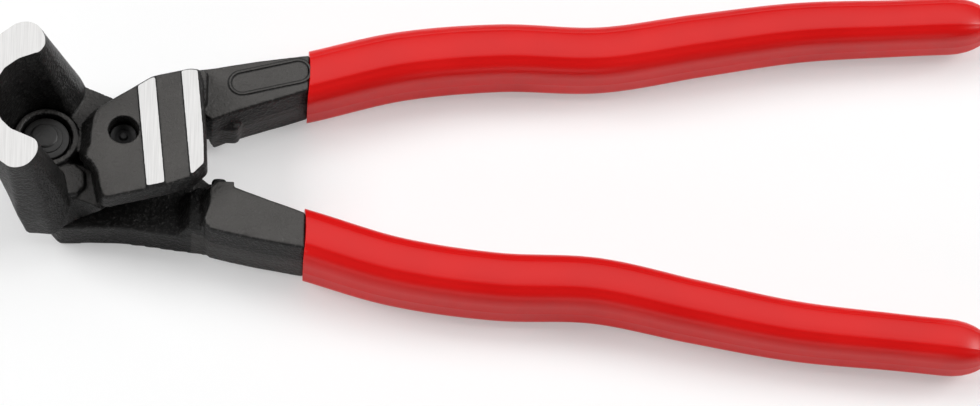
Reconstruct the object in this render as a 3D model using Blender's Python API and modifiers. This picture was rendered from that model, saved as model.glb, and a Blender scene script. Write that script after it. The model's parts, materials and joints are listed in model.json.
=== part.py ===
"""Compound end-cutting nippers with dipped grips, as separate forgings, pins and sleeves.

The origin is the centre of the main pivot pin's front face. +X runs along the handles, +Z along the
pivots to the front, and the upper handle lies at +Y. The rest pose is half open: every outline below
is given in that pose, in millimetres. The levers lie in three layers: the upper lever's front plate,
the tail of the upper jaw, and the lower lever's rear plate.
"""

import math

import bmesh
import bpy
from mathutils import Matrix, Vector

MM = 0.001

# Clearances
GAP = 0.3  # between any two pieces that touch or run on each other
OVERLAP = 0.1  # how far the volumes of one forging reach into each other
PAST = 2.0  # how far a cutter reaches beyond the wall that it cuts

# Pivots: the three axes lie on one line at rest
FULCRUM_REACH = 15.1  # main pivot to fulcrum
LINK_REACH = 9.0  # fulcrum to link pin
PIVOT_LINE = math.radians(2.3)  # slope of the line through the pivots
MAIN = Vector((0.0, 0.0))
ALONG = Vector((math.cos(PIVOT_LINE), math.sin(PIVOT_LINE)))
FULCRUM = ALONG * FULCRUM_REACH
LINK = ALONG * (FULCRUM_REACH + LINK_REACH)

# Motion of the lower lever about the fulcrum, from the rest pose
HANDLE_OPENING = math.radians(35.0)
HANDLE_CLOSING = math.radians(11.5)
JAW_RATIO = LINK_REACH / (FULCRUM_REACH + LINK_REACH)
JAW_OPENING = HANDLE_OPENING * JAW_RATIO
JAW_CLOSING = HANDLE_CLOSING * JAW_RATIO

# Layers, measured along the pivots from the ring's front face
PLATE_FRONT = 3.0
PLATE_THICKNESS = 4.0
TAIL_THICKNESS = 6.7
REAR_THICKNESS = 6.7
PLATE_BACK = PLATE_FRONT - PLATE_THICKNESS
TAIL_FRONT = PLATE_BACK - GAP
TAIL_BACK = TAIL_FRONT - TAIL_THICKNESS
REAR_FRONT = TAIL_BACK - GAP
REAR_BACK = REAR_FRONT - REAR_THICKNESS
RING_FRONT = 0.0

# Main joint
PIN_HEAD_RADIUS = 4.6
PIN_HEAD_FRONT = -0.6
PIN_HEAD_BACK = -2.3
PIN_HEAD_GAP = 0.6  # the ring stands clear of the pin's head
PIN_RAISED_RADIUS = 2.7
MAIN_PIN_RADIUS = 3.2
RING_WALL = 1.3
RING_RADIUS = PIN_HEAD_RADIUS + PIN_HEAD_GAP + RING_WALL
WEB_THICKNESS = 3.0  # between the lower jaw and the front plate
WEB_BACK = PLATE_BACK - WEB_THICKNESS
WEB_FRONT = PLATE_BACK - 1.3  # the groove between the pad and the front plate
JAW_HUB_RADIUS = 9.8
RIVET_FLARE = 0.9
RIVET_DEPTH = 1.2

# Fulcrum and link
FULCRUM_PIN_RADIUS = 2.7
FULCRUM_PIN_SUNK = 2.3
FULCRUM_HUB_RADIUS = 8.4
LINK_PIN_RADIUS = 2.2
LINK_EYE_WALL = 2.6
LINK_EYE_RADIUS = LINK_PIN_RADIUS + GAP + LINK_EYE_WALL

# Jaws: each is a tower from its foot on the joint to its ground face, leaning towards the tips
JAW_FACE = 17.5
JAW_FOOT = TAIL_FRONT
JAW_LEAN = math.radians(15.0)
JAW_EDGE_REACH = 13.2  # main pivot to the cutting edge, at the ground face
UPPER_JAW_OPEN = math.radians(1.6)
LOWER_JAW_OPEN = math.radians(6.3)
FACE_CHAMFER = 0.25
JAW_LEVELS = 3

# Handles
ARM_FRONT = -2.4
ARM_DEPTH = ARM_FRONT - REAR_BACK
ARM_MIDDLE = (ARM_FRONT + REAR_BACK) / 2
ARM_START = 32.3  # the lower arm's face
ARM_SHOULDER = 1.9  # the length over which an arm comes to its full width
UPPER_ARM_ROOT = [(29.4, 8.5), (30.6, 11.8)]  # x and width, where the arm leaves the plate
LOWER_ARM_ROOT = [(ARM_START, 7.2), (ARM_START + 0.7, 9.3)]
GRIP_START = 51.3
GRIP_MOUTH = 7.0  # behind it the grip is square to the handle; its mouth is square to the tool
GRIP_END = 185.8
GRIP_TIP_LENGTH = 6.5
GRIP_TIP_WALL = 6.0
GRIP_SIDE_WALL = 1.5
GRIP_FACE_WALL = 1.0
GRIP_CORNER = 3.8
HANDLE_LINE = [
    (31.0, 11.9), (41.0, 14.9), (51.0, 17.5), (69.0, 22.8), (88.6, 25.4), (108.3, 25.65),
    (127.8, 29.6), (147.3, 33.2), (167.0, 34.9), (185.8, 36.4),
]
GRIP_WIDTHS = [(51.0, 12.0), (92.0, 11.6), (125.0, 11.0), (155.0, 10.0), (170.0, 9.6), (185.8, 9.9)]
GRIP_DEPTHS = [(51.0, 13.4), (92.0, 13.0), (140.0, 12.0), (185.8, 11.1)]
ARM_WIDTHS = [(31.0, 11.1), (39.0, 10.0), (51.0, 8.0)]
DRAFT_BULGE = 0.55  # how far the parting line stands out of the forging's sides
ARM_EDGE = 0.7
TANG_BULGE = 0.2
TANG_EDGE = 1.6
GRIP_LIP = 0.5
GRIP_LIP_SHARE = 0.95

# Outlines: corners as x, y and fillet radius, anticlockwise
PLATE_OUTLINE = [
    (11.4, -14.8, 1.2), (24.0, -11.4, 8), (29.3, -9.3, 2), (31.6, -6.6, 1.5), (31.2, 2.0, 40),
    (29.9, 14.7, 1.0), (27.6, 14.9, 4), (20.3, 12.9, 6), (13.1, 7.8, 3), (9.9, 5.2, 2),
    (8.5, 0.5, 3), (8.5, -3.3, 1.5), (7.3, -5.5, 1), (8.9, -6.8, 1.5), (10.0, -8.7, 3),
    (10.6, -12.2, 4),
]
PLATE_DRAFT = 0.2
PLATE_EDGE = 0.6
APRON_FOOT = [
    (11.0, -5.0), (11.0, 6.9), (9.8, 7.2), (8.3, 5.7), (6.7, 3.6), (6.4, 0.2), (6.3, -2.4), (6.6, -4.8),
]
APRON_TOP = [
    (11.0, -4.8), (11.0, 6.1), (10.5, 5.9), (9.9, 5.3), (9.2, 3.6), (8.8, 0.4), (8.7, -2.8), (7.8, -4.7),
]
WEB_OUTLINE = [
    (-2.0, -11.8, 1.0), (6.2, -11.8, 1.2), (11.6, -13.2, 1.0), (11.6, -7.2, 1.0), (7.5, -4.7, 1.0),
    (5.0, -4.0, 0.8), (-2.0, -5.5, 1.0),
]
PAD_OUTLINE = [
    (2.0, -5.4, 0.8), (2.0, -12.0, 0.8), (6.2, -12.0, 1.0), (8.0, -9.8, 1.2), (7.7, -6.6, 1.2),
    (5.6, -4.9, 0.8),
]
BRIDGE_OUTLINE = [
    (10.6, -13.4, 0.8), (12.2, -13.8, 0.8), (11.6, -7.5, 0.8), (8.9, -5.8, 0.8), (9.5, -8.6, 2),
]
SKIRT_FRONT = [(0.0, -12.2), (6.2, -12.3), (9.2, -13.4), (11.6, -14.6), (10.8, -10.5), (4.0, -11.0)]
SKIRT_BACK = [(0.0, -16.6), (3.2, -16.1), (7.6, -13.3), (10.3, -11.2), (9.2, -10.6), (2.0, -11.0)]
ROOT_OUTLINE = [
    (24.2, 9.0, 1.5), (31.2, 8.7, 0.8), (31.2, 16.9, 0.8), (26.5, 15.3, 5), (22.6, 13.4, 2),
]
UPPER_JAW_FACE = [
    (-9.4, 3.7, 0.6), (-8.4, 5.6, 1.5), (-5.6, 7.95, 4), (-1.7, 9.55, 1.6), (-0.75, 11.0, 1.6),
    (-0.75, 13.0, 4), (-2.3, 15.5, 3.5), (-4.2, 16.1, 3), (-6.3, 15.7, 4), (-12.6, 10.5, 5),
    (-14.0, 4.6, 8),
]
UPPER_JAW_FOOT = [
    (-4.6, 4.4, 0.6), (-3.4, 5.9, 1.5), (0.3, 6.95, 3), (4.9, 5.2, 0.8), (7.15, 9.7, 1.6),
    (7.2, 12.4, 4), (5.6, 15.1, 3.5), (3.4, 16.1, 3), (-0.8, 16.0, 4), (-7.6, 10.5, 5),
    (-9.0, 4.6, 8),
]
LOWER_JAW_FACE = [
    (-13.8, -6.2, 8), (-11.8, -12.6, 4), (-6.2, -16.55, 3), (-3.2, -15.65, 4), (-1.4, -12.9, 4),
    (-1.4, -10.2, 1.9), (-6.9, -7.8, 2.5), (-8.7, -5.9, 1.5), (-9.5, -3.7, 0.6),
]
LOWER_JAW_FOOT = [
    (-8.8, -6.4, 8), (-6.7, -13.2, 4), (-5.0, -17.2, 1.0), (0.3, -17.5, 1.5), (4.9, -13.0, 2.5),
    (3.7, -7.1, 1.2), (0.0, -5.5, 2.5), (-3.5, -4.6, 1.0), (-4.6, -3.4, 0.6),
]
TAIL_CORNERS = [(4.0, 13.7, 0.5), (15.0, 8.9, 8)]
TAIL_UNDERSIDE = [(14.0, -6.4, 5), (8.0, -5.6, 0.5)]
WEB_ROOM_START = math.radians(-193)  # the sector of the jaw's hub that the other jaw's web needs
WEB_ROOM_END = math.radians(-29)
WEB_ROOM_REACH = 22.0
REAR_UNDERSIDE = [
    (5.4, -6.5, 7), (0.9, -13.0, 1.2), (3.0, -15.7, 1.8), (14.5, -15.2, 30), (24.0, -16.3, 20),
    (33.0, -17.4, 2),
]
REAR_UPPER = [(36.0, -10.5, 1), (33.2, -5.6, 2.5), (29.6, -2.6, 3)]
LEDGE_FRONT = -5.5
LEDGE_START = 28.5
LEDGE_RAMP = 2.7
STEP_START = 32.4
STEP_RAMP = 2.1
STEP_TOP = -7.2  # y of the ledge's upper side
STEP_CORNER = 1.5
STEP_FOOT = -16.2  # y of the ledge's lower side, where it starts
STEP_END = (37.0, -18.0)
UPPER_LUG = [(32.6, 9.5, 0.8), (33.3, 6.5, 0.9), (37.4, 6.5, 0.9), (39.8, 10.8, 0.8)]
LOWER_LUG = [(38.5, -9.8, 0.8), (35.2, -4.3, 0.9), (32.7, -4.3, 0.9), (32.2, -9.5, 0.8)]
LUG_FRONT = -6.6
LUG_EDGE = 0.6
LUG_BACK = -12.6

# Ground bands across the front plate, and the bare oval on the upper arm
BAND_HEIGHT = 0.35
BAND_TURN = math.radians(6.1)
BAND_REACH = 24.0
BANDS = [(20.45, 3.45), (29.1, 3.1)]  # x at y = 0, and width
OVAL_CENTRE = (42.95, 16.0)
OVAL_TURN = math.radians(15.4)
OVAL_LENGTH = 16.2
OVAL_WIDTH = 4.9
OVAL_RIM = 0.6
OVAL_HEIGHT = 0.25

# Fineness of curves
ARC_STEP = math.radians(15.0)
JAW_ARC_POINTS = 6
SECTION_POINTS = 6
ARM_STEPS = 4
TANG_STEPS = 14
GRIP_STEPS = 28
TURNED_STEPS = 36


def clear_scene():
    for old in list(bpy.data.objects):
        bpy.data.objects.remove(old, do_unlink=True)


def arc(centre, radius, start, end, points=None):
    """Points on an arc about centre, from one angle to the other, both in radians."""
    count = points - 1 if points else max(2, math.ceil(abs(end - start) / ARC_STEP))
    turns = [start + (end - start) * i / count for i in range(count + 1)]
    return [Vector((centre[0] + radius * math.cos(t), centre[1] + radius * math.sin(t))) for t in turns]


def circle(centre, radius):
    return arc(centre, radius, 0, math.tau)[:-1]


def turned_about(point, angle, centre=(0.0, 0.0)):
    centre = Vector(centre)
    return centre + Matrix.Rotation(angle, 2) @ (Vector(point) - centre)


def rounded(corners, points=None):
    """A closed outline through corners (x, y, fillet radius), each fillet drawn as an arc.

    With a number of points, every fillet gets as many, so that two such outlines can be lofted.
    """
    outline = []
    for i, (x, y, radius) in enumerate(corners):
        here = Vector((x, y))
        back = Vector(corners[i - 1][:2]) - here
        ahead = Vector(corners[(i + 1) % len(corners)][:2]) - here
        half = back.angle(ahead) / 2
        if radius == 0 or (half > math.radians(89) and not points):
            outline.append(here)
            continue
        reach = min(radius / math.tan(half), 0.48 * min(back.length, ahead.length))
        radius = reach * math.tan(half)
        centre = here + (back.normalized() + ahead.normalized()).normalized() * radius / math.sin(half)
        first = here + back.normalized() * reach - centre
        last = here + ahead.normalized() * reach - centre
        start = math.atan2(first.y, first.x)
        sweep = (math.atan2(last.y, last.x) - start + math.pi) % math.tau - math.pi
        outline += arc(centre, radius, start, start + sweep, points)
    return outline


def grown(outline, distance):
    """The anticlockwise outline moved outwards by a distance, or inwards by a negative one."""
    moved = []
    for i, here in enumerate(outline):
        before = (here - outline[i - 1]).normalized()
        after = (outline[(i + 1) % len(outline)] - here).normalized()
        out_before = Vector((before.y, -before.x))
        out_after = Vector((after.y, -after.x))
        corner = (out_before + out_after).normalized()
        moved.append(here + corner * distance / max(corner.dot(out_before), 0.6))
    return moved


def curve_through(points):
    """A smooth function through (x, value) points, which returns the value and its slope."""
    slopes = []
    for i in range(len(points)):
        before = points[max(i - 1, 0)]
        after = points[min(i + 1, len(points) - 1)]
        slopes.append((after[1] - before[1]) / (after[0] - before[0]))

    def at(x):
        i = 0
        while i < len(points) - 2 and x > points[i + 1][0]:
            i += 1
        (x0, y0), (x1, y1) = points[i], points[i + 1]
        span = x1 - x0
        t = (x - x0) / span
        value = (
            (2 * t**3 - 3 * t**2 + 1) * y0
            + (t**3 - 2 * t**2 + t) * span * slopes[i]
            + (3 * t**2 - 2 * t**3) * y1
            + (t**3 - t**2) * span * slopes[i + 1]
        )
        slope = (
            (6 * t**2 - 6 * t) * (y0 - y1) / span
            + (3 * t**2 - 4 * t + 1) * slopes[i]
            + (3 * t**2 - 2 * t) * slopes[i + 1]
        )
        return value, slope

    return at


def new_object(name, mesh):
    mesh.transform(Matrix.Scale(MM, 4))
    obj = bpy.data.objects.new(name, mesh)
    bpy.context.scene.collection.objects.link(obj)
    return obj


def loft(name, rings):
    """A closed solid through rings of as many points each, given in millimetres."""
    shape = bmesh.new()
    rows = [[shape.verts.new(point) for point in ring] for ring in rings]
    for low, high in zip(rows, rows[1:]):
        for i in range(len(low)):
            shape.faces.new((low[i - 1], low[i], high[i], high[i - 1]))
    shape.faces.new(reversed(rows[0]))
    shape.faces.new(rows[-1])
    bmesh.ops.recalc_face_normals(shape, faces=shape.faces)
    mesh = bpy.data.meshes.new(name)
    shape.to_mesh(mesh)
    shape.free()
    return new_object(name, mesh)


def forged_plate(name, outline, back, front, edge=PLATE_EDGE, draft=0.0):
    """A plate between two levels: its front edge is rounded, and its sides widen towards the back."""
    levels = [
        (draft, back), (0.0, front - edge), (-0.3 * edge, front - 0.3 * edge), (-edge, front),
    ]
    return loft(name, [[(*p, z) for p in grown(outline, by)] for by, z in levels])


def prism(name, outline, back, front):
    return loft(name, [[(*p, z) for p in outline] for z in (back, front)])


def turned(name, profile, centre):
    """A turned piece: the profile (radius, level) runs down its outer side, from axis to axis."""
    mesh = bpy.data.meshes.new(name)
    edges = [(i, i + 1) for i in range(len(profile) - 1)]
    mesh.from_pydata([(r, 0, z) for r, z in profile], edges, [])
    obj = new_object(name, mesh)
    obj.location = (centre[0] * MM, centre[1] * MM, 0)
    screw = obj.modifiers.new("turn", "SCREW")
    screw.steps = screw.render_steps = TURNED_STEPS
    screw.use_merge_vertices = True
    screw.merge_threshold = 0.00001
    bake(obj)
    return obj


def bake(obj):
    """Replaces the object's mesh by what its modifiers make of it, with its location applied."""
    bpy.context.view_layer.update()
    mesh = bpy.data.meshes.new_from_object(obj.evaluated_get(bpy.context.evaluated_depsgraph_get()))
    obj.modifiers.clear()
    obj.data = mesh
    mesh.transform(Matrix.Translation(obj.location))
    obj.location = (0, 0, 0)
    shape = bmesh.new()
    shape.from_mesh(mesh)
    bmesh.ops.remove_doubles(shape, verts=shape.verts, dist=0.000002)
    bmesh.ops.recalc_face_normals(shape, faces=shape.faces)
    shape.to_mesh(mesh)
    shape.free()


def boolean(obj, tools, operation):
    for tool in tools:
        step = obj.modifiers.new(tool.name, "BOOLEAN")
        step.operation = operation
        step.object = tool
    bake(obj)
    for tool in tools:
        bpy.data.objects.remove(tool, do_unlink=True)


def joined(obj, *tools):
    boolean(obj, tools, "UNION")


def cut(obj, *tools):
    boolean(obj, tools, "DIFFERENCE")


def jaw_block(name, face, foot):
    """A tower between two outlines of as many corners: its ground face, and its foot on the joint."""
    lean = math.tan(JAW_LEAN)
    rings = []

    def add_ring(level, share, shift=0.0, by=0.0):
        corners = []
        for (x0, y0, r0), (x1, y1, r1) in zip(face, foot):
            x = x0 + (x1 - x0) * share + shift
            corners.append((x, y0 + (y1 - y0) * share, r0 + (r1 - r0) * share))
        rings.append([(*p, level) for p in grown(rounded(corners, JAW_ARC_POINTS), by)])

    add_ring(TAIL_BACK, 1.0, shift=(JAW_FOOT - TAIL_BACK) * lean)
    for i in range(JAW_LEVELS):
        share = 1 - i / JAW_LEVELS
        add_ring(JAW_FACE + (JAW_FOOT - JAW_FACE) * share, share)
    add_ring(JAW_FACE - FACE_CHAMFER, 0.0)
    add_ring(JAW_FACE, 0.0, by=-FACE_CHAMFER)
    return loft(name, rings)


def jaw_tip(opening, level=JAW_FACE):
    tip = turned_about((-JAW_EDGE_REACH, 0), opening)
    return (tip.x + (JAW_FACE - level) * math.tan(JAW_LEAN), tip.y, 0)


def pivot_cut(name, centre, radius, back, front):
    return prism(name, circle(centre, radius), back, front)


def flared_end(radius, back):
    """The riveted end of a pin: a flare that lies flush with the back of what it holds."""
    return [(radius, back + RIVET_DEPTH), (radius + RIVET_FLARE, back), (0, back)]


def flared_bore(name, centre, radius, back, front):
    """The hole for a riveted pin, a gap wider than the pin all along."""
    wide = radius + GAP
    slope = RIVET_FLARE / RIVET_DEPTH
    profile = [
        (0, front), (wide, front), (wide, back + RIVET_DEPTH), (wide + RIVET_FLARE, back),
        (wide + RIVET_FLARE + PAST * slope, back - PAST), (0, back - PAST),
    ]
    return turned(name, profile, centre)


def section(x, line, width, depth, bulge, corner, side, points=None):
    """A handle's section, with its widest point at the parting plane.

    It lies square to the handle line, but at the grip's mouth it lies square to the tool.
    """
    y, slope = line(x)
    turn_share = min(1.0, abs(x - GRIP_START) / GRIP_MOUTH)
    across = Vector((-slope * turn_share, 1, 0)).normalized()
    centre = Vector((x, side * y, ARM_MIDDLE))
    across.x *= side
    half_width, half_depth = width / 2, depth / 2
    ring = []
    for turn, (sx, sz) in enumerate(((1, 1), (-1, 1), (-1, -1), (1, -1))):
        fillet = Vector((sx * (half_width - corner), sz * (half_depth - corner)))
        ring += arc(fillet, corner, turn * math.pi / 2, (turn + 1) * math.pi / 2, points)
        if sx == -sz:
            ring.append(Vector((-sz * (half_width + bulge), 0)))
    return [centre + across * a + Vector((0, 0, b)) for a, b in ring]


def handle_steel(name, side, start_widths):
    """The arm and, past the grip's mouth, the tang that the grip covers."""
    line = curve_through(HANDLE_LINE)
    arm_width = curve_through(ARM_WIDTHS)
    rings = []
    for x, width in start_widths:
        rings.append(section(x, line, width, ARM_DEPTH, DRAFT_BULGE, ARM_EDGE, side, SECTION_POINTS))
    first = ARM_START + ARM_SHOULDER
    last = GRIP_START - GAP
    for i in range(ARM_STEPS + 1):
        x = first + (last - first) * i / ARM_STEPS
        width = arm_width(x)[0]
        rings.append(section(x, line, width, ARM_DEPTH, DRAFT_BULGE, ARM_EDGE, side, SECTION_POINTS))
    for x in tang_stations():
        width, depth = tang_size(x)
        rings.append(section(x, line, width, depth, TANG_BULGE, TANG_EDGE, side, SECTION_POINTS))
    return loft(name, rings)


def tang_stations():
    first = GRIP_START - GAP + OVERLAP
    last = GRIP_END - GRIP_TIP_WALL
    return [first + (last - first) * i / TANG_STEPS for i in range(TANG_STEPS + 1)]


def tang_size(x):
    width = curve_through(GRIP_WIDTHS)(x)[0] - 2 * (GRIP_SIDE_WALL + GAP)
    depth = curve_through(GRIP_DEPTHS)(x)[0] - 2 * (GRIP_FACE_WALL + GAP)
    if x < GRIP_START + GRIP_MOUTH:
        width = min(width, curve_through(ARM_WIDTHS)(GRIP_START)[0])
    return width, depth


def grip(name, side):
    """A dipped sleeve, closed and rounded at its end, over the tang."""
    line = curve_through(HANDLE_LINE)
    width_at = curve_through(GRIP_WIDTHS)
    depth_at = curve_through(GRIP_DEPTHS)
    straight_end = GRIP_END - GRIP_TIP_LENGTH
    lip_end = GRIP_START + GRIP_LIP
    run = straight_end - lip_end
    stations = [(GRIP_START, GRIP_LIP_SHARE)]
    stations += [(lip_end + run * i / GRIP_STEPS, 1.0) for i in range(GRIP_STEPS + 1)]
    for turn in (25, 45, 62, 76, 86):
        angle = math.radians(turn)
        stations.append((straight_end + GRIP_TIP_LENGTH * math.sin(angle), math.cos(angle) ** 0.8))
    rings = []
    for x, scale in stations:
        width = width_at(x)[0] * scale
        depth = depth_at(x)[0] * scale
        corner = GRIP_CORNER * scale
        rings.append(section(x, line, width, depth, 0.0, corner, side, SECTION_POINTS))
    sleeve = loft(name, rings)

    cavity = []
    stations = tang_stations()
    stations[0] -= PAST
    stations[-1] += GAP
    for x in stations:
        width, depth = tang_size(x)
        size = (width + 2 * GAP, depth + 2 * GAP, TANG_BULGE, TANG_EDGE + GAP)
        cavity.append(section(x, line, *size, side, SECTION_POINTS))
    cut(sleeve, loft("cavity", cavity))
    return sleeve


def ground_band(x, width):
    """A raised strip right across the front plate, up to the rounding of its edge."""
    corners = []
    for dx, y in ((0, -1), (1, -1), (1, 1), (0, 1)):
        y *= BAND_REACH
        corners.append(Vector((x + (dx - 0.5) * width - y * math.tan(BAND_TURN), y)))
    strip = prism("strip", corners, PLATE_FRONT - OVERLAP, PLATE_FRONT + BAND_HEIGHT)
    face = grown(rounded(PLATE_OUTLINE), -PLATE_EDGE - 0.05)
    boolean(strip, [prism("face", face, PLATE_FRONT - PAST, PLATE_FRONT + PAST)], "INTERSECT")
    return strip


def oval(name, length, width, back, front):
    run = (length - width) / 2
    centre = Vector(OVAL_CENTRE)
    ends = arc((run, 0), width / 2, -math.pi / 2, math.pi / 2)
    ends += arc((-run, 0), width / 2, math.pi / 2, 3 * math.pi / 2)
    return prism(name, [centre + turned_about(p, OVAL_TURN) for p in ends], back, front)


def stop_lug(outline):
    return forged_plate("lug", rounded(outline), LUG_BACK, LUG_FRONT, edge=LUG_EDGE)


def upper_handle_lever():
    """Front plate, ring, lower jaw and upper arm in one forging."""
    lever = forged_plate(
        "upper_handle_lever", rounded(PLATE_OUTLINE), PLATE_BACK, PLATE_FRONT, draft=PLATE_DRAFT
    )
    apron = loft("apron", [
        [(*p, PLATE_BACK + OVERLAP) for p in APRON_FOOT],
        [(*p, PLATE_FRONT - OVERLAP) for p in APRON_TOP],
    ])
    web = forged_plate("web", rounded(WEB_OUTLINE), WEB_BACK, WEB_FRONT)
    pad = forged_plate("pad", rounded(PAD_OUTLINE), WEB_FRONT - OVERLAP, PLATE_BACK)
    bridge = prism("bridge", rounded(BRIDGE_OUTLINE), WEB_BACK + OVERLAP, PLATE_BACK + OVERLAP)
    skirt = loft("skirt", [
        [(*p, TAIL_BACK) for p in SKIRT_BACK],
        [(*p, WEB_FRONT + OVERLAP) for p in SKIRT_FRONT],
    ])
    ring = forged_plate("ring", circle(MAIN, RING_RADIUS), WEB_BACK, RING_FRONT, edge=0.3)
    block = jaw_block(
        "block",
        [jaw_tip(LOWER_JAW_OPEN), *LOWER_JAW_FACE],
        [jaw_tip(LOWER_JAW_OPEN, JAW_FOOT), *LOWER_JAW_FOOT],
    )
    root = forged_plate("root", rounded(ROOT_OUTLINE), REAR_BACK, PLATE_BACK + 2 * OVERLAP)
    arm = handle_steel("arm", 1, UPPER_ARM_ROOT)
    joined(lever, apron, web, pad, bridge, ring, skirt, block, root, arm, stop_lug(UPPER_LUG))
    joined(lever, *[ground_band(*band) for band in BANDS])
    rim_height = ARM_FRONT + OVAL_HEIGHT
    raised = oval("oval", OVAL_LENGTH, OVAL_WIDTH, ARM_FRONT - 1.0, rim_height)
    inner = oval(
        "inner", OVAL_LENGTH - 2 * OVAL_RIM, OVAL_WIDTH - 2 * OVAL_RIM, ARM_FRONT, rim_height + PAST
    )
    cut(raised, inner)
    joined(lever, raised)
    hub_room = pivot_cut("hub_room", MAIN, JAW_HUB_RADIUS + GAP, TAIL_BACK - PAST, WEB_BACK)
    head_room = pivot_cut(
        "head_room", MAIN, PIN_HEAD_RADIUS + PIN_HEAD_GAP, PIN_HEAD_BACK - GAP, RING_FRONT + PAST
    )
    bore = pivot_cut("bore", MAIN, MAIN_PIN_RADIUS + GAP, WEB_BACK - PAST, RING_FRONT + PAST)
    fulcrum = pivot_cut(
        "fulcrum", FULCRUM, FULCRUM_PIN_RADIUS + GAP, PLATE_BACK - PAST, PLATE_FRONT + PAST
    )
    cut(lever, hub_room, head_room, bore, fulcrum)
    return lever


def upper_jaw():
    """A forging that turns on the main pivot; its tail is driven by the link pin."""
    jaw = jaw_block(
        "upper_jaw",
        [*UPPER_JAW_FACE, jaw_tip(UPPER_JAW_OPEN)],
        [*UPPER_JAW_FOOT, jaw_tip(UPPER_JAW_OPEN, JAW_FOOT)],
    )
    hub = pivot_cut("hub", MAIN, JAW_HUB_RADIUS, TAIL_BACK, TAIL_FRONT)
    eye = arc(LINK, LINK_EYE_RADIUS, math.radians(-115), math.radians(68))
    neck = rounded([(*eye[-1], 0), *TAIL_CORNERS[::-1], (0.0, 12.0, 0), (0.0, -4.0, 0)])[1:-1]
    under = rounded([(0.0, -4.0, 0), *TAIL_UNDERSIDE[::-1], (*eye[0], 0)])[1:-1]
    tail = prism("tail", under + eye + neck, TAIL_BACK, TAIL_FRONT - OVERLAP)
    joined(jaw, tail, hub)

    room_back = WEB_BACK - GAP
    ring_room = pivot_cut("ring_room", MAIN, RING_RADIUS + GAP, room_back, RING_FRONT + 1.0)
    start = WEB_ROOM_START - JAW_CLOSING
    end = WEB_ROOM_END + JAW_OPENING
    sector = [MAIN, *arc(MAIN, WEB_ROOM_REACH, start, end)]
    web_room = prism("web_room", sector, room_back, TAIL_FRONT + GAP)
    pin_room = flared_bore("pin_room", MAIN, MAIN_PIN_RADIUS, TAIL_BACK, RING_FRONT)
    cut(jaw, ring_room, web_room, pin_room)

    wide = FULCRUM_PIN_RADIUS + GAP
    low = PIVOT_LINE - JAW_CLOSING
    high = PIVOT_LINE + JAW_OPENING
    kidney = arc(MAIN, FULCRUM_REACH + wide, low, high)
    end_centre = turned_about((FULCRUM_REACH, 0), high)
    kidney += arc(end_centre, wide, high, high + math.pi)[1:-1]
    kidney += arc(MAIN, FULCRUM_REACH - wide, high, low)
    start_centre = turned_about((FULCRUM_REACH, 0), low)
    kidney += arc(start_centre, wide, low + math.pi, low + math.tau)[1:-1]
    fulcrum_room = prism("fulcrum_room", kidney, TAIL_BACK - PAST, TAIL_FRONT + PAST)

    swing = max(HANDLE_OPENING, HANDLE_CLOSING)
    nearest = (FULCRUM + turned_about(ALONG * LINK_REACH, swing)).length
    inner = ALONG * (nearest - GAP)
    wide = LINK_PIN_RADIUS + GAP
    slot = arc(LINK, wide, PIVOT_LINE - math.pi / 2, PIVOT_LINE + math.pi / 2)
    slot += arc(inner, wide, PIVOT_LINE + math.pi / 2, PIVOT_LINE + 3 * math.pi / 2)
    link_room = prism("link_room", slot, TAIL_BACK - PAST, TAIL_FRONT + PAST)
    cut(jaw, fulcrum_room, link_room)
    return jaw


def ledge(name, start, ramp, back, front):
    """A step of the lower lever, which ramps up along the handle and keeps its sides upright."""
    rings = []
    for left, z in ((start - ramp, back), (start, front)):
        corners = [
            (left, STEP_FOOT), STEP_END, (STEP_END[0], STEP_TOP), (left + STEP_CORNER, STEP_TOP),
            (left, STEP_TOP - STEP_CORNER),
        ]
        rings.append([(*corner, z) for corner in corners])
    return loft(name, rings)


def lower_handle_lever():
    """Rear plate and lower arm in one forging, which turns on the fulcrum pin."""
    hub = arc(FULCRUM, FULCRUM_HUB_RADIUS, math.radians(88), math.radians(190))
    eye = arc(LINK, LINK_EYE_RADIUS, math.radians(-20), math.radians(80))
    edge = rounded([(*hub[-1], 0), *REAR_UNDERSIDE, *REAR_UPPER, (*eye[0], 0)])[1:-1]
    lever = forged_plate("lower_handle_lever", edge + eye + hub, REAR_BACK, REAR_FRONT, edge=0.4)
    low_step = ledge("low_step", LEDGE_START, LEDGE_RAMP, REAR_FRONT - 1.0, LEDGE_FRONT)
    high_step = ledge("high_step", STEP_START, STEP_RAMP, LEDGE_FRONT - 0.5, ARM_FRONT - 0.2)
    arm = handle_steel("arm", -1, LOWER_ARM_ROOT)
    joined(lever, low_step, high_step, arm, stop_lug(LOWER_LUG))
    fulcrum_room = flared_bore("fulcrum_room", FULCRUM, FULCRUM_PIN_RADIUS, REAR_BACK, 0)
    link_room = flared_bore("link_room", LINK, LINK_PIN_RADIUS, REAR_BACK, 0)
    cut(lever, fulcrum_room, link_room)
    return lever


def main_pivot_pin():
    profile = [
        (0, RING_FRONT), (PIN_RAISED_RADIUS, RING_FRONT), (PIN_RAISED_RADIUS + 0.2, PIN_HEAD_FRONT),
        (PIN_HEAD_RADIUS - 0.3, PIN_HEAD_FRONT), (PIN_HEAD_RADIUS, PIN_HEAD_FRONT - 0.3),
        (PIN_HEAD_RADIUS, PIN_HEAD_BACK), (MAIN_PIN_RADIUS, PIN_HEAD_BACK),
    ]
    return turned("main_pivot_pin", profile + flared_end(MAIN_PIN_RADIUS, TAIL_BACK), MAIN)


def fulcrum_pin():
    front = PLATE_FRONT - FULCRUM_PIN_SUNK
    profile = [
        (0, front - 0.8), (FULCRUM_PIN_RADIUS - 1.0, front - 0.5), (FULCRUM_PIN_RADIUS - 0.3, front),
        (FULCRUM_PIN_RADIUS, front - 0.3),
    ]
    return turned("fulcrum_pin", profile + flared_end(FULCRUM_PIN_RADIUS, REAR_BACK), FULCRUM)


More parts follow.
